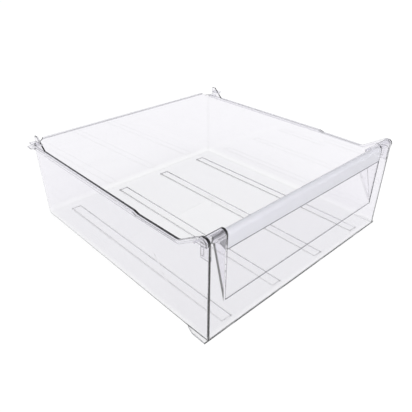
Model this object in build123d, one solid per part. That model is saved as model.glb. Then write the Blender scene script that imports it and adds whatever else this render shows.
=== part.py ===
"""Clear freezer drawer: open-fronted tub, recessed front panel and frosted handle strip, in millimetres.

The drawer stands on its floor with +Z up and its front towards -Y. Everything is laid out from the lower
front edge (Y = 0) and moved at the end, so that the origin is the bottom centre of the drawer.
"""
import os
from math import atan2, cos, pi, radians, sin, tan

from build123d import *

# Tub: size of the floor, wall and floor thickness, draft and corner radii
BASE_WIDTH = 410.0
DEPTH = 432.0
WALL = 2.6
FLOOR = 2.6
DRAFT = 1.1
REAR_CORNER_RADIUS = 7.0
BASE_EDGE_RADIUS = 4.0

# Rim: height along the side, ramp up to the front corner, step and higher middle of the back wall
RIM_HEIGHT = 138.2
STEP_DROP = 2.5
BACK_RIM_RISE = 5.9
RAMP_START = 9.5
RAMP_START_RADIUS = 9.0
RAMP_FOOT = 49.0
RAMP_FOOT_RADIUS = 14.0
STEP_START = 128.0
STEP_RUN = 9.0
STEP_RADIUS = 8.0
BACK_RIM_INSET = 17.0
BACK_RIM_RUN = 9.0

# Front facet of each side wall: its crease runs from the floor back up to the rim
CREASE_FOOT = 43.0
CREASE_TOP = 134.0
FRONT_TAPER = 1.0

# Runner rail along each side: an outward flange that follows the rim, with a hanging lip
RAIL_REACH = 3.8
RAIL_THICKNESS = 2.2
RAIL_LIP_DROP = 5.7
RAIL_LIP_THICKNESS = 1.6
RAIL_FRONT_RISE = 12.8
RAMP_LIP_DROP = 5.2
BACK_FLANGE_REACH = 3.2

# Rear stop lug and the two tabs of its guide fork
LUG_SETBACK = 12.0
LUG_TOP_LENGTH = 8.0
LUG_RAMP_LENGTH = 20.0
LUG_RISE = 19.1
FORK_REACH = 7.0
FORK_LENGTH = 22.0
FORK_LEAD = 8.0
FORK_GAP = 8.0
FORK_THICKNESS = 2.2

# Floor ribs
RIB_WIDTH = 20.0
RIB_PITCH = 105.0
RIB_COUNT = 4
RIB_RISE = 1.6
RIB_FRONT = 12.0
RIB_BACK_MARGIN = 20.0
RIB_WEB = 2.0
RIB_CORNER_RADIUS = 3.0

# Corner feet at the floor's front corners
FOOT_REACH = 4.4
FOOT_LENGTH = 37.0
FOOT_LEAD = 13.0

# Front panel: a leaning plate with rolled-over posts and a sloping grip recess that is open at the top
PANEL_RISE = 31.5
PANEL_THICKNESS = 2.6
PANEL_LEAN = 0.8
PANEL_CLEARANCE = 0.2
CROWN_RADIUS = 7.0
POST_WIDTH = 29.7
RECESS_SILL = 54.7
RECESS_DEPTH = 25.2
LEDGE_DROP = 23.9
RECESS_WALL = 2.4
RECESS_CORNER_RADIUS = 2.5

# Snap tabs that hold the panel in pockets of the side walls
SNAP_DROP = 41.7
SNAP_HEIGHT = 22.0
SNAP_LENGTH = 13.0
SNAP_THICKNESS = 2.2
SNAP_NIB_LENGTH = 4.0
SNAP_NIB_HEIGHT = 12.0
SNAP_NIB_REACH = 1.8
SNAP_CLEARANCE = 0.25

# Handle strip: lip, crown and sloping rear leg that hooks over the recess wall
LIP_DROP = 41.0
LIP_RETURN_DEPTH = 14.0
LIP_RETURN_RISE = 7.9
LIP_RADIUS = 3.0
STRIP_DROP = 3.55
STRIP_CROWN_RADIUS = 5.8
STRIP_THICKNESS = 2.4
HOOK_LENGTH = 9.0
HOOK_RADIUS = 4.5
STRIP_CLEARANCE = 0.3

# Length by which blanks and cutters run past what they shape
OVERRUN = 40.0

LEAN = radians(PANEL_LEAN)
WALL_SLOPE = tan(radians(DRAFT))
PANEL_FRAME = Location((0, 0, 0), (PANEL_LEAN, 0, 0))
FRONT_RIM_HEIGHT = RIM_HEIGHT - STEP_DROP
BACK_RIM_HEIGHT = RIM_HEIGHT + BACK_RIM_RISE
RAIL_FRONT_HEIGHT = RIM_HEIGHT + RAIL_FRONT_RISE
LUG_HEIGHT = RIM_HEIGHT + LUG_RISE
PANEL_APEX = RIM_HEIGHT + PANEL_RISE
RECESS_TOP = PANEL_APEX - LEDGE_DROP
SNAP_BASE = PANEL_APEX - SNAP_DROP
LIP_BOTTOM = PANEL_APEX - LIP_DROP
FRONT_HALF = BASE_WIDTH / 2 - FRONT_TAPER
RECESS_HALF = FRONT_HALF - POST_WIDTH
LUG_BACK = DEPTH - LUG_SETBACK
LUG_PEAK = LUG_BACK - LUG_TOP_LENGTH
LUG_FRONT = LUG_PEAK - LUG_RAMP_LENGTH
LEDGE_SLOPE = (PANEL_APEX - RECESS_TOP) / RECESS_DEPTH
LEDGE_ANGLE = atan2(PANEL_APEX - RECESS_TOP, RECESS_DEPTH)
RECESS_ANGLE = atan2(RECESS_DEPTH, RECESS_TOP - RECESS_SILL)
CROWN_CENTRE = PANEL_APEX - CROWN_RADIUS * tan((pi / 2 + LEDGE_ANGLE) / 2)
CORNER_TOP = CROWN_CENTRE * cos(LEAN) + CROWN_RADIUS * (1 + sin(LEAN))
RAMP_SLOPE = (CORNER_TOP - FRONT_RIM_HEIGHT) / (RAMP_FOOT - RAMP_START)
FRONT_REACH = CROWN_CENTRE * sin(LEAN) + CROWN_RADIUS * (1 - cos(LEAN))
BACK_REACH = DEPTH + BACK_RIM_HEIGHT * WALL_SLOPE + BACK_FLANGE_REACH
ORIGIN_SHIFT = (0, (FRONT_REACH - BACK_REACH) / 2, 0)


def side_x(height):
    """Outer half-width of the drafted side wall at a height."""
    return BASE_WIDTH / 2 + height * WALL_SLOPE


def back_y(height):
    """Outer face of the drafted back wall at a height."""
    return DEPTH + height * WALL_SLOPE


def front_y(height):
    """Leaning front face at a height."""
    return -height * tan(LEAN)


def ramp_y(height):
    """Place on the rim's ramp at a height."""
    return RAMP_START + (CORNER_TOP - height) / RAMP_SLOPE


def across(outline, end, start):
    """Solid of a side-view (Y, Z) outline, drawn across X from start to end."""
    return extrude(Plane.YZ.offset(start) * outline, end - start)


def polygon(*points):
    """Flat face with the given corners."""
    return make_face(Polyline(*points, close=True))


def both_sides(piece):
    """The piece and its mirror image on the other side of the drawer."""
    return piece + mirror(piece, Plane.YZ)


def facet_plane(inset):
    """Plane of the right-hand front facet, moved inwards by inset and facing outwards."""
    foot = Vector(side_x(0), CREASE_FOOT, 0)
    top = Vector(side_x(RIM_HEIGHT), CREASE_TOP, RIM_HEIGHT)
    corner = Vector(FRONT_HALF, 0, 0)
    normal = (foot - corner).cross(top - corner).normalized()
    if normal.X < 0:
        normal = -normal
    return Plane(origin=corner - Vector(inset, 0, 0), z_dir=normal)


def facet_x(y, z):
    """Outer half-width of the front facet at a place on it."""
    plane = facet_plane(0)
    at = Vector(0, y, z)
    return (plane.origin - at).dot(plane.z_dir) / plane.z_dir.X


def tub_form(inset, base):
    """Drafted block of the tub, with its sides and back moved in by inset and its bottom at base."""
    top = PANEL_APEX + OVERRUN
    low_x = side_x(base) - inset
    high_x = side_x(top) - inset
    section = Plane.XZ.offset(OVERRUN) * polygon((-low_x, base), (low_x, base), (high_x, top), (-high_x, top))
    block = extrude(section, -(OVERRUN + DEPTH + OVERRUN))
    back = Plane(origin=(0, DEPTH - inset, 0), z_dir=(0, cos(radians(DRAFT)), -sin(radians(DRAFT))))
    block = split(block, bisect_by=back, keep=Keep.BOTTOM)
    uprights = block.edges().filter_by(lambda e: e.center().Y > DEPTH / 2 and e.length > PANEL_APEX / 2)
    uprights = uprights.filter_by(lambda e: abs(e.center().X) > BASE_WIDTH / 4)
    block = fillet(uprights, REAR_CORNER_RADIUS - inset)
    bottom = block.faces().sort_by(Axis.Z)[0].edges().filter_by(lambda e: e.center().Y > 0)
    block = fillet(bottom, BASE_EDGE_RADIUS - inset)
    right = facet_plane(inset)
    block = split(block, bisect_by=right, keep=Keep.BOTTOM)
    left = Plane(
        origin=(-right.origin.X, right.origin.Y, right.origin.Z),
        z_dir=(-right.z_dir.X, right.z_dir.Y, right.z_dir.Z),
    )
    return split(block, bisect_by=left, keep=Keep.BOTTOM)


def rim_line(low, end):
    """Rim in side view: up the front face from low, over the corner, down the ramp and back to end."""
    return FilletPolyline(
        (front_y(low), low),
        (front_y(CORNER_TOP), CORNER_TOP),
        (RAMP_START, CORNER_TOP),
        (RAMP_FOOT, FRONT_RIM_HEIGHT),
        (STEP_START, FRONT_RIM_HEIGHT),
        (STEP_START + STEP_RUN, RIM_HEIGHT),
        (end, RIM_HEIGHT),
        radius=[CROWN_RADIUS, RAMP_START_RADIUS, RAMP_FOOT_RADIUS, STEP_RADIUS, STEP_RADIUS],
    )


def rim_trim():
    """Space under the rim and behind the front face, with the higher middle of the back wall."""
    far = DEPTH + OVERRUN
    rest = Polyline(
        (LUG_FRONT, RIM_HEIGHT),
        (LUG_PEAK, LUG_HEIGHT),
        (LUG_BACK, LUG_HEIGHT),
        (LUG_BACK, RIM_HEIGHT),
        (far, RIM_HEIGHT),
        (far, -OVERRUN),
        (front_y(-OVERRUN), -OVERRUN),
    )
    reach = BASE_WIDTH / 2 + OVERRUN
    side = across(make_face(rim_line(-OVERRUN, LUG_FRONT) + rest), reach, -reach)
    half = BASE_WIDTH / 2 - BACK_RIM_INSET
    middle = polygon(
        (-half - BACK_RIM_RUN, RIM_HEIGHT - WALL),
        (half + BACK_RIM_RUN, RIM_HEIGHT - WALL),
        (half + BACK_RIM_RUN, RIM_HEIGHT),
        (half, BACK_RIM_HEIGHT),
        (-half, BACK_RIM_HEIGHT),
        (-half - BACK_RIM_RUN, RIM_HEIGHT),
    )
    back = extrude(Plane.XZ.offset(-LUG_PEAK) * middle, -(far - LUG_PEAK))
    return side + back


def rail():
    """Right-hand runner rail: flange along the rim, hanging lip and the two tabs of the guide fork."""
    reach = BASE_WIDTH / 2 + OVERRUN
    root = FRONT_HALF - WALL
    outer = tub_form(-RAIL_REACH, 0)
    rim = rim_line(RAIL_FRONT_HEIGHT, DEPTH)
    flange = across(make_face(offset(rim, RAIL_THICKNESS, side=Side.RIGHT)), reach, root) & outer
    low = RIM_HEIGHT - RAIL_LIP_DROP
    under = Polyline(
        (DEPTH, RIM_HEIGHT),
        (DEPTH, low),
        (ramp_y(low + RAMP_LIP_DROP), low),
        (ramp_y(RAIL_FRONT_HEIGHT + RAMP_LIP_DROP), RAIL_FRONT_HEIGHT),
        (front_y(RAIL_FRONT_HEIGHT), RAIL_FRONT_HEIGHT),
    )
    skirt = outer - tub_form(RAIL_LIP_THICKNESS - RAIL_REACH, 0)
    lip = across(make_face(rim + under), reach, root) & skirt
    upper = RIM_HEIGHT + FORK_GAP + FORK_THICKNESS
    return flange + lip + fork_tab(RIM_HEIGHT, DEPTH) + fork_tab(upper, LUG_BACK)


def fork_tab(top, back):
    """Outward tab of the guide fork, with a slanted leading edge."""
    reach = side_x(RIM_HEIGHT) + RAIL_REACH + FORK_REACH
    root = side_x(0) - WALL
    front = back - FORK_LENGTH
    plan = polygon(
        (root, front),
        (side_x(0), front),
        (reach, front + FORK_LEAD),
        (reach, back),
        (root, back),
    )
    return extrude(Plane.XY.offset(top - FORK_THICKNESS) * plan, FORK_THICKNESS)


def back_flange():
    """Outward flange along the middle of the back rim."""
    half = BASE_WIDTH / 2 - BACK_RIM_INSET
    rear = back_y(BACK_RIM_HEIGHT) + BACK_FLANGE_REACH
    plate = Box(2 * half, rear - DEPTH, RAIL_THICKNESS)
    return Location((0, (rear + DEPTH) / 2, BACK_RIM_HEIGHT - RAIL_THICKNESS / 2)) * plate


def rib_plan(width, trim):
    """Plan of all floor ribs, each of the given width and shortened by trim at both ends."""
    back = DEPTH - RIB_BACK_MARGIN
    length = back - RIB_FRONT - 2 * trim
    radius = RIB_CORNER_RADIUS - trim
    first = -(RIB_COUNT - 1) / 2 * RIB_PITCH
    places = [Location((first + i * RIB_PITCH, (RIB_FRONT + back) / 2)) for i in range(RIB_COUNT)]
    return [place * RectangleRounded(width, length, radius) for place in places]


def corner_foot():
    """Right-hand foot: a floor-level tab that fills the rounded front corner and stands out beside it."""
    root = FRONT_HALF - BASE_EDGE_RADIUS
    reach = side_x(0) + FOOT_REACH
    plan = polygon(
        (root, 0),
        (reach, 0),
        (reach, FOOT_LENGTH - FOOT_LEAD),
        (side_x(0), FOOT_LENGTH),
        (root, FOOT_LENGTH),
    )
    return extrude(plan, FLOOR)


def snap_x():
    """Outer face of the snap tab: the inner face of the side wall less the clearance."""
    upper = SNAP_BASE + SNAP_HEIGHT
    return min(facet_x(0, SNAP_BASE), facet_x(0, upper)) - WALL - SNAP_CLEARANCE


def snap_nib(grow):
    """Nib of the right-hand snap tab, grown on all sides by a clearance."""
    middle = SNAP_BASE + SNAP_HEIGHT / 2
    y = PANEL_THICKNESS + SNAP_LENGTH - SNAP_NIB_LENGTH
    length = SNAP_NIB_LENGTH + 2 * grow
    height = SNAP_NIB_HEIGHT + 2 * grow
    reach = SNAP_THICKNESS + SNAP_NIB_REACH + grow
    return Location((snap_x() - SNAP_THICKNESS + reach / 2, y, middle)) * Box(reach, length, height)


def drawer_tub():
    """Tub moulded in one piece: floor, side walls, back wall, rails, forks, ribs and feet."""
    cavity = tub_form(WALL, FLOOR)
    shell = (tub_form(0, 0) - cavity) & rim_trim()
    fittings = both_sides(rail() + corner_foot()) + back_flange()
    tub = shell + (fittings - cavity)
    for rib in rib_plan(RIB_WIDTH, 0):
        tub += extrude(rib, FLOOR + RIB_RISE)
    for groove in rib_plan(RIB_WIDTH - 2 * RIB_WEB, RIB_WEB):
        tub -= extrude(groove, RIB_RISE)
    pocket = PANEL_FRAME * snap_nib(SNAP_CLEARANCE)
    return tub - both_sides(pocket)


def recess_line(distance, height):
    """Y of the recess wall's front face, moved back square to it by a distance, at a height."""
    return (height - RECESS_SILL) * tan(RECESS_ANGLE) + distance / cos(RECESS_ANGLE)


def meet_ledge(distance, below):
    """Point where the recess wall's moved face meets the ledge line lowered square to itself."""
    start = PANEL_APEX - below / cos(LEDGE_ANGLE)
    offset_y = distance / cos(RECESS_ANGLE) - RECESS_SILL * tan(RECESS_ANGLE)
    height = (start - LEDGE_SLOPE * offset_y) / (1 + LEDGE_SLOPE * tan(RECESS_ANGLE))
    return (recess_line(distance, height), height)


def front_panel():
    """Leaning plate with rolled-over posts, a sloping recess wall, two cheeks and two snap tabs."""
    reach = FRONT_HALF + OVERRUN
    foot = RECESS_SILL - RECESS_WALL
    skin = FilletPolyline((0, -OVERRUN), (0, PANEL_APEX), meet_ledge(RECESS_WALL, 0), radius=CROWN_RADIUS)
    plate = across(make_face(offset(skin, PANEL_THICKNESS, side=Side.RIGHT)), reach, -reach)
    open_height = PANEL_APEX - RECESS_SILL + OVERRUN
    opening = Location((0, RECESS_SILL + open_height / 2)) * Rectangle(2 * RECESS_HALF, open_height)
    opening = fillet(opening.vertices().filter_by(lambda v: v.Y < RECESS_TOP), RECESS_CORNER_RADIUS)
    plate -= extrude(Plane.XZ.offset(OVERRUN) * opening, -2 * OVERRUN - RECESS_DEPTH)
    ridge = meet_ledge(RECESS_WALL, STRIP_DROP + STRIP_THICKNESS)
    wall = across(
        polygon(
            (0, RECESS_SILL),
            meet_ledge(0, STRIP_DROP + STRIP_THICKNESS),
            ridge,
            (PANEL_THICKNESS, foot),
            (0, foot),
        ),
        RECESS_HALF,
        -RECESS_HALF,
    )
    ridge_edge = wall.edges().filter_by(Axis.X).sort_by_distance((0, *ridge))[0]
    wall = fillet(ridge_edge, HOOK_RADIUS - STRIP_THICKNESS)
    side_view = polygon((0, foot), (0, PANEL_APEX), meet_ledge(RECESS_WALL, 0), (PANEL_THICKNESS, foot))
    side_view = fillet(side_view.vertices().sort_by_distance((0, PANEL_APEX))[0], CROWN_RADIUS)
    cheek = across(side_view, RECESS_HALF + RECESS_WALL, RECESS_HALF)
    body = PANEL_FRAME * (plate + wall + both_sides(cheek))
    body &= tub_form(WALL + PANEL_CLEARANCE, FLOOR + PANEL_CLEARANCE)
    tab_end = PANEL_THICKNESS + SNAP_LENGTH
    tab_top = SNAP_BASE + SNAP_HEIGHT
    tab = across(
        polygon((0, SNAP_BASE), (tab_end, SNAP_BASE), (tab_end, tab_top), (0, tab_top)),
        snap_x(),
        snap_x() - SNAP_THICKNESS,
    )
    return body + PANEL_FRAME * both_sides(tab + snap_nib(0))


def handle_strip():
    """Frosted strip: curled lip, rounded crown and a sloping leg that hooks over the recess wall."""
    gap = RECESS_WALL + STRIP_CLEARANCE + STRIP_THICKNESS
    turn = meet_ledge(gap, STRIP_DROP)
    hook_end = (turn[0] - HOOK_LENGTH * sin(RECESS_ANGLE), turn[1] - HOOK_LENGTH * cos(RECESS_ANGLE))
    skin = FilletPolyline(
        (LIP_RETURN_DEPTH, LIP_BOTTOM + LIP_RETURN_RISE),
        (0, LIP_BOTTOM),
        (0, PANEL_APEX - STRIP_DROP / cos(LEDGE_ANGLE)),
        turn,
        hook_end,
        radius=[LIP_RADIUS, STRIP_CROWN_RADIUS, HOOK_RADIUS],
    )
    section = make_face(offset(skin, STRIP_THICKNESS, side=Side.RIGHT))
    half = RECESS_HALF - STRIP_CLEARANCE
    return PANEL_FRAME * across(section, half, -half)


def main():
    os.makedirs("parts", exist_ok=True)
    nodes = {
        "drawer_tub": drawer_tub(),
        "front_panel": front_panel(),
        "handle_strip": handle_strip(),
    }
    for name, piece in nodes.items():
        export_step(Location(ORIGIN_SHIFT) * piece, f"parts/{name}.step")


main()
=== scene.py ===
"""Clear freezer drawer in a white studio, seen from its front left corner."""

import bpy
from mathutils import Matrix, Vector


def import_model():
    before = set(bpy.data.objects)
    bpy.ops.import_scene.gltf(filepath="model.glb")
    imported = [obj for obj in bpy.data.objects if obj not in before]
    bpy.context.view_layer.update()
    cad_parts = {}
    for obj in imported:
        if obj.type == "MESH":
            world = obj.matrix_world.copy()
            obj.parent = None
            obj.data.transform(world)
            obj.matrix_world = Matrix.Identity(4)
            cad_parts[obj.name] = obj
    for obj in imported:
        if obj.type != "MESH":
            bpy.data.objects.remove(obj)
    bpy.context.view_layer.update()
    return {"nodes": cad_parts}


# Lower front edge of the drawer in the part's frame, and the camera measured from there, in metres
FRONT_EDGE_Y = -0.21791
CAMERA_FROM_EDGE = (-0.48201, -0.29302, 0.44638)
CAMERA_RIGHT = (0.72954, -0.68394, 0.00074)
CAMERA_UP = (0.35219, 0.37659, 0.85682)
CAMERA_BACK = (-0.58629, -0.62483, 0.51561)
CAMERA_LENS = 39.379
CAMERA_SENSOR = 36.0
CAMERA_REACH = 100.0

# Grip recess of the front panel: sill height, half width, lean of the panel, and the half width and depth of the
# dark line of painted shade along its edges
RECESS_SILL = 0.0547
RECESS_HALF = 0.1743
PANEL_LEAN = 0.01396
LINE_HALF = 0.0008
LINE_DEPTH = 0.0008

# Front lip of the handle strip: its back, and the heights between which the painted shade of its lower edge fades
LIP_BACK_Y = -0.2165
LIP_SHADE_FULL = 0.1334
LIP_SHADE_END = 0.1345

# Heights between which the ribbed floor's settings change to the walls': its lighter colour, which is painted
# light, its wider edge rounding and its fainter painted edge shade
FLOOR_ZONE_TOP = 0.004
WALL_ZONE_START = 0.016

# Edges of the clear plastic: shading radius, strength of the painted shade along them, and how far the rounded
# normal follows the face's own
FLOOR_EDGE_RADIUS = 0.0025
WALL_EDGE_RADIUS = 0.0007
EDGE_SAMPLES = 6
FLOOR_EDGE_STRENGTH = 0.03
TUB_EDGE_STRENGTH = 0.3
PANEL_EDGE_STRENGTH = 0.5
FLAT_MATCH = 0.99995
EDGE_MATCH = 0.998

# Colours
WHITE = (1.0, 1.0, 1.0, 1.0)
# Painted light: the tub's ribbed floor gets a lighter colour than its walls
FLOOR_PAINTED_LIGHT_TINT = (0.99, 0.99, 1.0, 1.0)
WALL_TINT = (0.915, 0.907, 0.934, 1.0)
# Painted shade: near-black colour put on the plastic's edges and along the grip recess
PAINTED_EDGE_SHADE = (0.05, 0.05, 0.06, 1.0)
STRIP_TINT = (0.88, 0.88, 0.92, 1.0)
# Painted shade for the lower edge of the handle strip's lip
LIP_PAINTED_SHADE = (0.08, 0.08, 0.1, 1.0)
STAGE_COLOR = (0.80, 0.80, 0.80, 1.0)
STAGE_SHADOW_COLOR = (0.18, 0.18, 0.18, 1.0)
STAGE_GLOW = 0.86

# Studio floor, and the room's light by the upward share of a direction
STAGE_SIZE = 30.0
STAGE_DROP = 0.0004
ROOM_STOPS = (
    (0.45, (0.85, 0.85, 0.9, 1.0)),
    (0.7, (0.45, 0.45, 0.48, 1.0)),
    (0.8, (0.45, 0.45, 0.45, 1.0)),
    (0.9, (0.8, 0.8, 0.8, 1.0)),
)

# Lamps
SUN_ENERGY = 0.95
SUN_ANGLE = 1.1
SUN_TURN = (0.25, -0.2, 0.0)
SOFTBOX_PLACE = (-1.2, -2.2, 1.0)
SOFTBOX_AIM = (0.0, 0.0, 0.1)
SOFTBOX_WIDTH = 1.6
SOFTBOX_HEIGHT = 1.2
SOFTBOX_ENERGY = 26.0

# Colour sockets of a Mix node
MIX_FIRST = 6
MIX_SECOND = 7
MIX_RESULT = 2


def new_material(name):
    """Empty node material with an output node."""
    material = bpy.data.materials.new(name)
    material.use_nodes = True
    tree = material.node_tree
    tree.nodes.clear()
    output = tree.nodes.new("ShaderNodeOutputMaterial")
    return material, tree, output


def add(tree, kind, **inputs):
    """New node of a kind with its input sockets set by name."""
    node = tree.nodes.new(kind)
    for name, value in inputs.items():
        node.inputs[name.replace("_", " ")].default_value = value
    return node


def compute(tree, operation, first, second, margin=0.0):
    """Socket with the result of a maths operation on sockets or numbers."""
    node = add(tree, "ShaderNodeMath")
    node.operation = operation
    node.inputs[2].default_value = margin
    for place, value in enumerate((first, second)):
        if isinstance(value, float):
            node.inputs[place].default_value = value
        else:
            tree.links.new(value, node.inputs[place])
    return node.outputs["Value"]


def blend(tree, factor, first, second):
    """Colour node that goes from the first colour to the second."""
    mix = tree.nodes.new("ShaderNodeMix")
    mix.data_type = "RGBA"
    mix.inputs[MIX_FIRST].default_value = first
    mix.inputs[MIX_SECOND].default_value = second
    tree.links.new(factor, mix.inputs[0])
    return mix


def edge_mask(tree, edges):
    """Socket that rises from 0 on flat faces to 1 along sharp edges."""
    face = add(tree, "ShaderNodeNewGeometry")
    turn = add(tree, "ShaderNodeVectorMath")
    turn.operation = "DOT_PRODUCT"
    mask = add(tree, "ShaderNodeMapRange", From_Min=FLAT_MATCH, From_Max=EDGE_MATCH)
    tree.links.new(edges.outputs["Normal"], turn.inputs[0])
    tree.links.new(face.outputs["Normal"], turn.inputs[1])
    tree.links.new(turn.outputs["Value"], mask.inputs["Value"])
    return mask.outputs["Result"]


def height_mask(tree, place, low, high, bottom, top):
    """Socket that goes from one value to another between two heights of the part."""
    split = add(tree, "ShaderNodeSeparateXYZ")
    mask = add(tree, "ShaderNodeMapRange", From_Min=low, From_Max=high, To_Min=bottom, To_Max=top)
    tree.links.new(place.outputs["Object"], split.inputs["Vector"])
    tree.links.new(split.outputs["Z"], mask.inputs["Value"])
    return mask.outputs["Result"]


def floor_to_wall(tree, place, on_floor, on_walls):
    """Socket with one value on the ribbed floor and another on the walls."""
    return height_mask(tree, place, FLOOR_ZONE_TOP, WALL_ZONE_START, on_floor, on_walls)


def recess_shade_lines(tree, place):
    """Socket that is 1 in a narrow line along the sill and the two side edges of the grip recess, where painted
    shade darkens the plastic.
    """
    split = add(tree, "ShaderNodeSeparateXYZ")
    tree.links.new(place.outputs["Object"], split.inputs["Vector"])
    across = compute(tree, "ABSOLUTE", split.outputs["X"], 0.0)
    height = split.outputs["Z"]
    lean = compute(tree, "MULTIPLY", height, PANEL_LEAN)
    depth = compute(tree, "ADD", split.outputs["Y"], lean)
    front = compute(tree, "LESS_THAN", depth, FRONT_EDGE_Y + LINE_DEPTH)
    sill = compute(tree, "COMPARE", height, RECESS_SILL, LINE_HALF)
    sill = compute(tree, "MULTIPLY", sill, compute(tree, "LESS_THAN", across, RECESS_HALF))
    side = compute(tree, "COMPARE", across, RECESS_HALF, LINE_HALF)
    side = compute(tree, "MULTIPLY", side, compute(tree, "GREATER_THAN", height, RECESS_SILL))
    return compute(tree, "MULTIPLY", front, compute(tree, "MAXIMUM", sill, side))


def clear_plastic(name, edge_shade_strength, with_recess_shade):
    """Clear moulded polystyrene: faint ripples, a little haze, dark light-trapping edges painted into its colour
    as shade, and a ribbed floor coloured lighter than the walls as painted light.
    """
    material, tree, output = new_material(name)
    shader = add(tree, "ShaderNodeBsdfPrincipled", IOR=1.58, Transmission_Weight=1.0)
    place = add(tree, "ShaderNodeTexCoord")
    edges = add(tree, "ShaderNodeBevel")
    edges.samples = EDGE_SAMPLES
    radius = floor_to_wall(tree, place, FLOOR_EDGE_RADIUS, WALL_EDGE_RADIUS)
    tree.links.new(radius, edges.inputs["Radius"])
    strength = floor_to_wall(tree, place, FLOOR_EDGE_STRENGTH, edge_shade_strength)
    # Painted shade: the plastic's edges are darkened in its base colour
    dark = compute(tree, "MULTIPLY", edge_mask(tree, edges), strength)
    # Painted shade: dark lines along the grip recess's sill and sides
    if with_recess_shade:
        dark = compute(tree, "MAXIMUM", dark, recess_shade_lines(tree, place))
    # Painted light: the ribbed floor is coloured lighter than the walls
    faces = blend(tree, floor_to_wall(tree, place, 0.0, 1.0), FLOOR_PAINTED_LIGHT_TINT, WALL_TINT)
    # Painted shade: the colour goes to near black along the edges and the recess lines
    tint_with_painted_shade = blend(tree, dark, WHITE, PAINTED_EDGE_SHADE)
    tree.links.new(faces.outputs[MIX_RESULT], tint_with_painted_shade.inputs[MIX_FIRST])
    tree.links.new(tint_with_painted_shade.outputs[MIX_RESULT], shader.inputs["Base Color"])
    haze = add(tree, "ShaderNodeTexNoise", Scale=30.0, Detail=4.0)
    polish = add(tree, "ShaderNodeMapRange", From_Min=0.4, From_Max=0.8, To_Min=0.008, To_Max=0.05)
    ripple = add(tree, "ShaderNodeTexNoise", Scale=9.0, Detail=1.0)
    bump = add(tree, "ShaderNodeBump", Strength=0.06, Distance=0.002)
    tree.links.new(place.outputs["Object"], haze.inputs["Vector"])
    tree.links.new(haze.outputs["Fac"], polish.inputs["Value"])
    tree.links.new(polish.outputs["Result"], shader.inputs["Roughness"])
    tree.links.new(place.outputs["Object"], ripple.inputs["Vector"])
    tree.links.new(ripple.outputs["Fac"], bump.inputs["Height"])
    tree.links.new(edges.outputs["Normal"], bump.inputs["Normal"])
    tree.links.new(bump.outputs["Normal"], shader.inputs["Normal"])
    tree.links.new(shader.outputs["BSDF"], output.inputs["Surface"])
    return material


def frosted_plastic():
    """Frosted lavender-white plastic of the handle strip, with a fine grain and painted shade along the lip's
    lower edge.
    """
    material, tree, output = new_material("frosted_polystyrene")
    shader = add(tree, "ShaderNodeBsdfPrincipled", IOR=1.5, Transmission_Weight=0.4)
    place = add(tree, "ShaderNodeTexCoord")
    split = add(tree, "ShaderNodeSeparateXYZ")
    tree.links.new(place.outputs["Object"], split.inputs["Vector"])
    # Painted shade: the lip's lower edge is darkened in the base colour
    lip = compute(tree, "LESS_THAN", split.outputs["Y"], LIP_BACK_Y)
    low = height_mask(tree, place, LIP_SHADE_FULL, LIP_SHADE_END, 1.0, 0.0)
    tint_with_painted_shade = blend(tree, compute(tree, "MULTIPLY", lip, low), STRIP_TINT, LIP_PAINTED_SHADE)
    tree.links.new(tint_with_painted_shade.outputs[MIX_RESULT], shader.inputs["Base Color"])
    grain = add(tree, "ShaderNodeTexNoise", Scale=900.0, Detail=2.0)
    frost = add(tree, "ShaderNodeMapRange", To_Min=0.36, To_Max=0.5)
    bump = add(tree, "ShaderNodeBump", Strength=0.12, Distance=0.0004)
    tree.links.new(place.outputs["Object"], grain.inputs["Vector"])
    tree.links.new(grain.outputs["Fac"], frost.inputs["Value"])
    tree.links.new(frost.outputs["Result"], shader.inputs["Roughness"])
    tree.links.new(grain.outputs["Fac"], bump.inputs["Height"])
    tree.links.new(bump.outputs["Normal"], shader.inputs["Normal"])
    tree.links.new(shader.outputs["BSDF"], output.inputs["Surface"])
    return material


def seen_ray(tree):
    """Socket that is 1 for rays on which the floor shows, straight, mirrored or through plastic."""
    path = add(tree, "ShaderNodeLightPath").outputs
    through = compute(tree, "MAXIMUM", path["Is Camera Ray"], path["Is Transmission Ray"])
    return compute(tree, "MAXIMUM", through, path["Is Glossy Ray"])


def white_floor():
    """Large white floor that keeps the drawer's shadow."""
    bpy.ops.mesh.primitive_plane_add(size=STAGE_SIZE, location=(0, 0, -STAGE_DROP))
    floor = bpy.context.object
    floor.name = "studio_floor"
    material, tree, output = new_material("studio_white")
    plain = add(tree, "ShaderNodeBsdfDiffuse", Color=STAGE_COLOR)
    shade = add(tree, "ShaderNodeBsdfDiffuse", Color=STAGE_SHADOW_COLOR)
    glow = add(tree, "ShaderNodeEmission", Color=WHITE, Strength=STAGE_GLOW)
    white = add(tree, "ShaderNodeAddShader")
    pick = add(tree, "ShaderNodeMixShader")
    tree.links.new(shade.outputs["BSDF"], white.inputs[0])
    tree.links.new(glow.outputs["Emission"], white.inputs[1])
    tree.links.new(seen_ray(tree), pick.inputs["Fac"])
    tree.links.new(plain.outputs["BSDF"], pick.inputs[1])
    tree.links.new(white.outputs["Shader"], pick.inputs[2])
    tree.links.new(pick.outputs["Shader"], output.inputs["Surface"])
    floor.data.materials.append(material)


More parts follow.
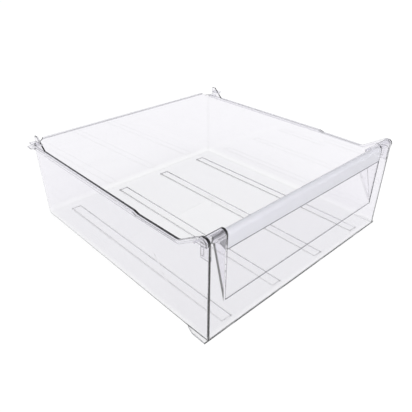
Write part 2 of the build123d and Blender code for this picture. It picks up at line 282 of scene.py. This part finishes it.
def room_light():
    """World that is white to the camera and lights the drawer by a soft room, brightest low down and overhead."""
    world = bpy.data.worlds.new("studio")
    bpy.context.scene.world = world
    world.use_nodes = True
    tree = world.node_tree
    tree.nodes.clear()
    output = tree.nodes.new("ShaderNodeOutputWorld")
    room = add(tree, "ShaderNodeBackground", Strength=1.0)
    white = add(tree, "ShaderNodeBackground", Color=WHITE, Strength=1.0)
    place = add(tree, "ShaderNodeTexCoord")
    split = add(tree, "ShaderNodeSeparateXYZ")
    ramp = add(tree, "ShaderNodeValToRGB")
    stops = ramp.color_ramp.elements
    for position, color in ROOM_STOPS:
        stops.new(position).color = color
    stops.remove(stops[-1])
    stops.remove(stops[0])
    path = add(tree, "ShaderNodeLightPath")
    pick = add(tree, "ShaderNodeMixShader")
    tree.links.new(place.outputs["Generated"], split.inputs["Vector"])
    tree.links.new(split.outputs["Z"], ramp.inputs["Fac"])
    tree.links.new(ramp.outputs["Color"], room.inputs["Color"])
    tree.links.new(path.outputs["Is Camera Ray"], pick.inputs["Fac"])
    tree.links.new(room.outputs["Background"], pick.inputs[1])
    tree.links.new(white.outputs["Background"], pick.inputs[2])
    tree.links.new(pick.outputs["Shader"], output.inputs["Surface"])


def add_lamp(name, kind):
    """New lamp that lights surfaces but shows neither in reflections nor through plastic."""
    data = bpy.data.lights.new(name, kind)
    lamp = bpy.data.objects.new(name, data)
    bpy.context.collection.objects.link(lamp)
    lamp.visible_glossy = False
    lamp.visible_transmission = False
    return lamp


def lamps():
    """Wide soft light from above and a softbox at the front left."""
    sun = add_lamp("top_light", "SUN")
    sun.data.energy = SUN_ENERGY
    sun.data.angle = SUN_ANGLE
    sun.rotation_euler = SUN_TURN
    softbox = add_lamp("front_light", "AREA")
    softbox.data.shape = "RECTANGLE"
    softbox.data.size = SOFTBOX_WIDTH
    softbox.data.size_y = SOFTBOX_HEIGHT
    softbox.data.energy = SOFTBOX_ENERGY
    softbox.location = SOFTBOX_PLACE
    view = Vector(SOFTBOX_AIM) - Vector(SOFTBOX_PLACE)
    softbox.rotation_euler = view.to_track_quat("-Z", "Y").to_euler()


def photo_camera():
    """Camera at the photograph's place, direction and field of view."""
    data = bpy.data.cameras.new("photo_camera")
    data.sensor_width = CAMERA_SENSOR
    data.lens = CAMERA_LENS
    data.clip_end = CAMERA_REACH
    camera = bpy.data.objects.new("photo_camera", data)
    bpy.context.collection.objects.link(camera)
    x, y, z = CAMERA_FROM_EDGE
    turn = Matrix((CAMERA_RIGHT, CAMERA_UP, CAMERA_BACK)).transposed()
    camera.matrix_world = Matrix.Translation((x, y + FRONT_EDGE_Y, z)) @ turn.to_4x4()
    bpy.context.scene.camera = camera


def main():
    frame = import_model()
    finishes = {
        "drawer_tub": clear_plastic("clear_tub", TUB_EDGE_STRENGTH, False),
        "front_panel": clear_plastic("clear_panel", PANEL_EDGE_STRENGTH, True),
        "handle_strip": frosted_plastic(),
    }
    for name, node in frame["nodes"].items():
        node.data.materials.clear()
        node.data.materials.append(finishes[name])
    white_floor()
    room_light()
    lamps()
    photo_camera()
    bpy.context.scene.view_settings.view_transform = "Standard"


main()
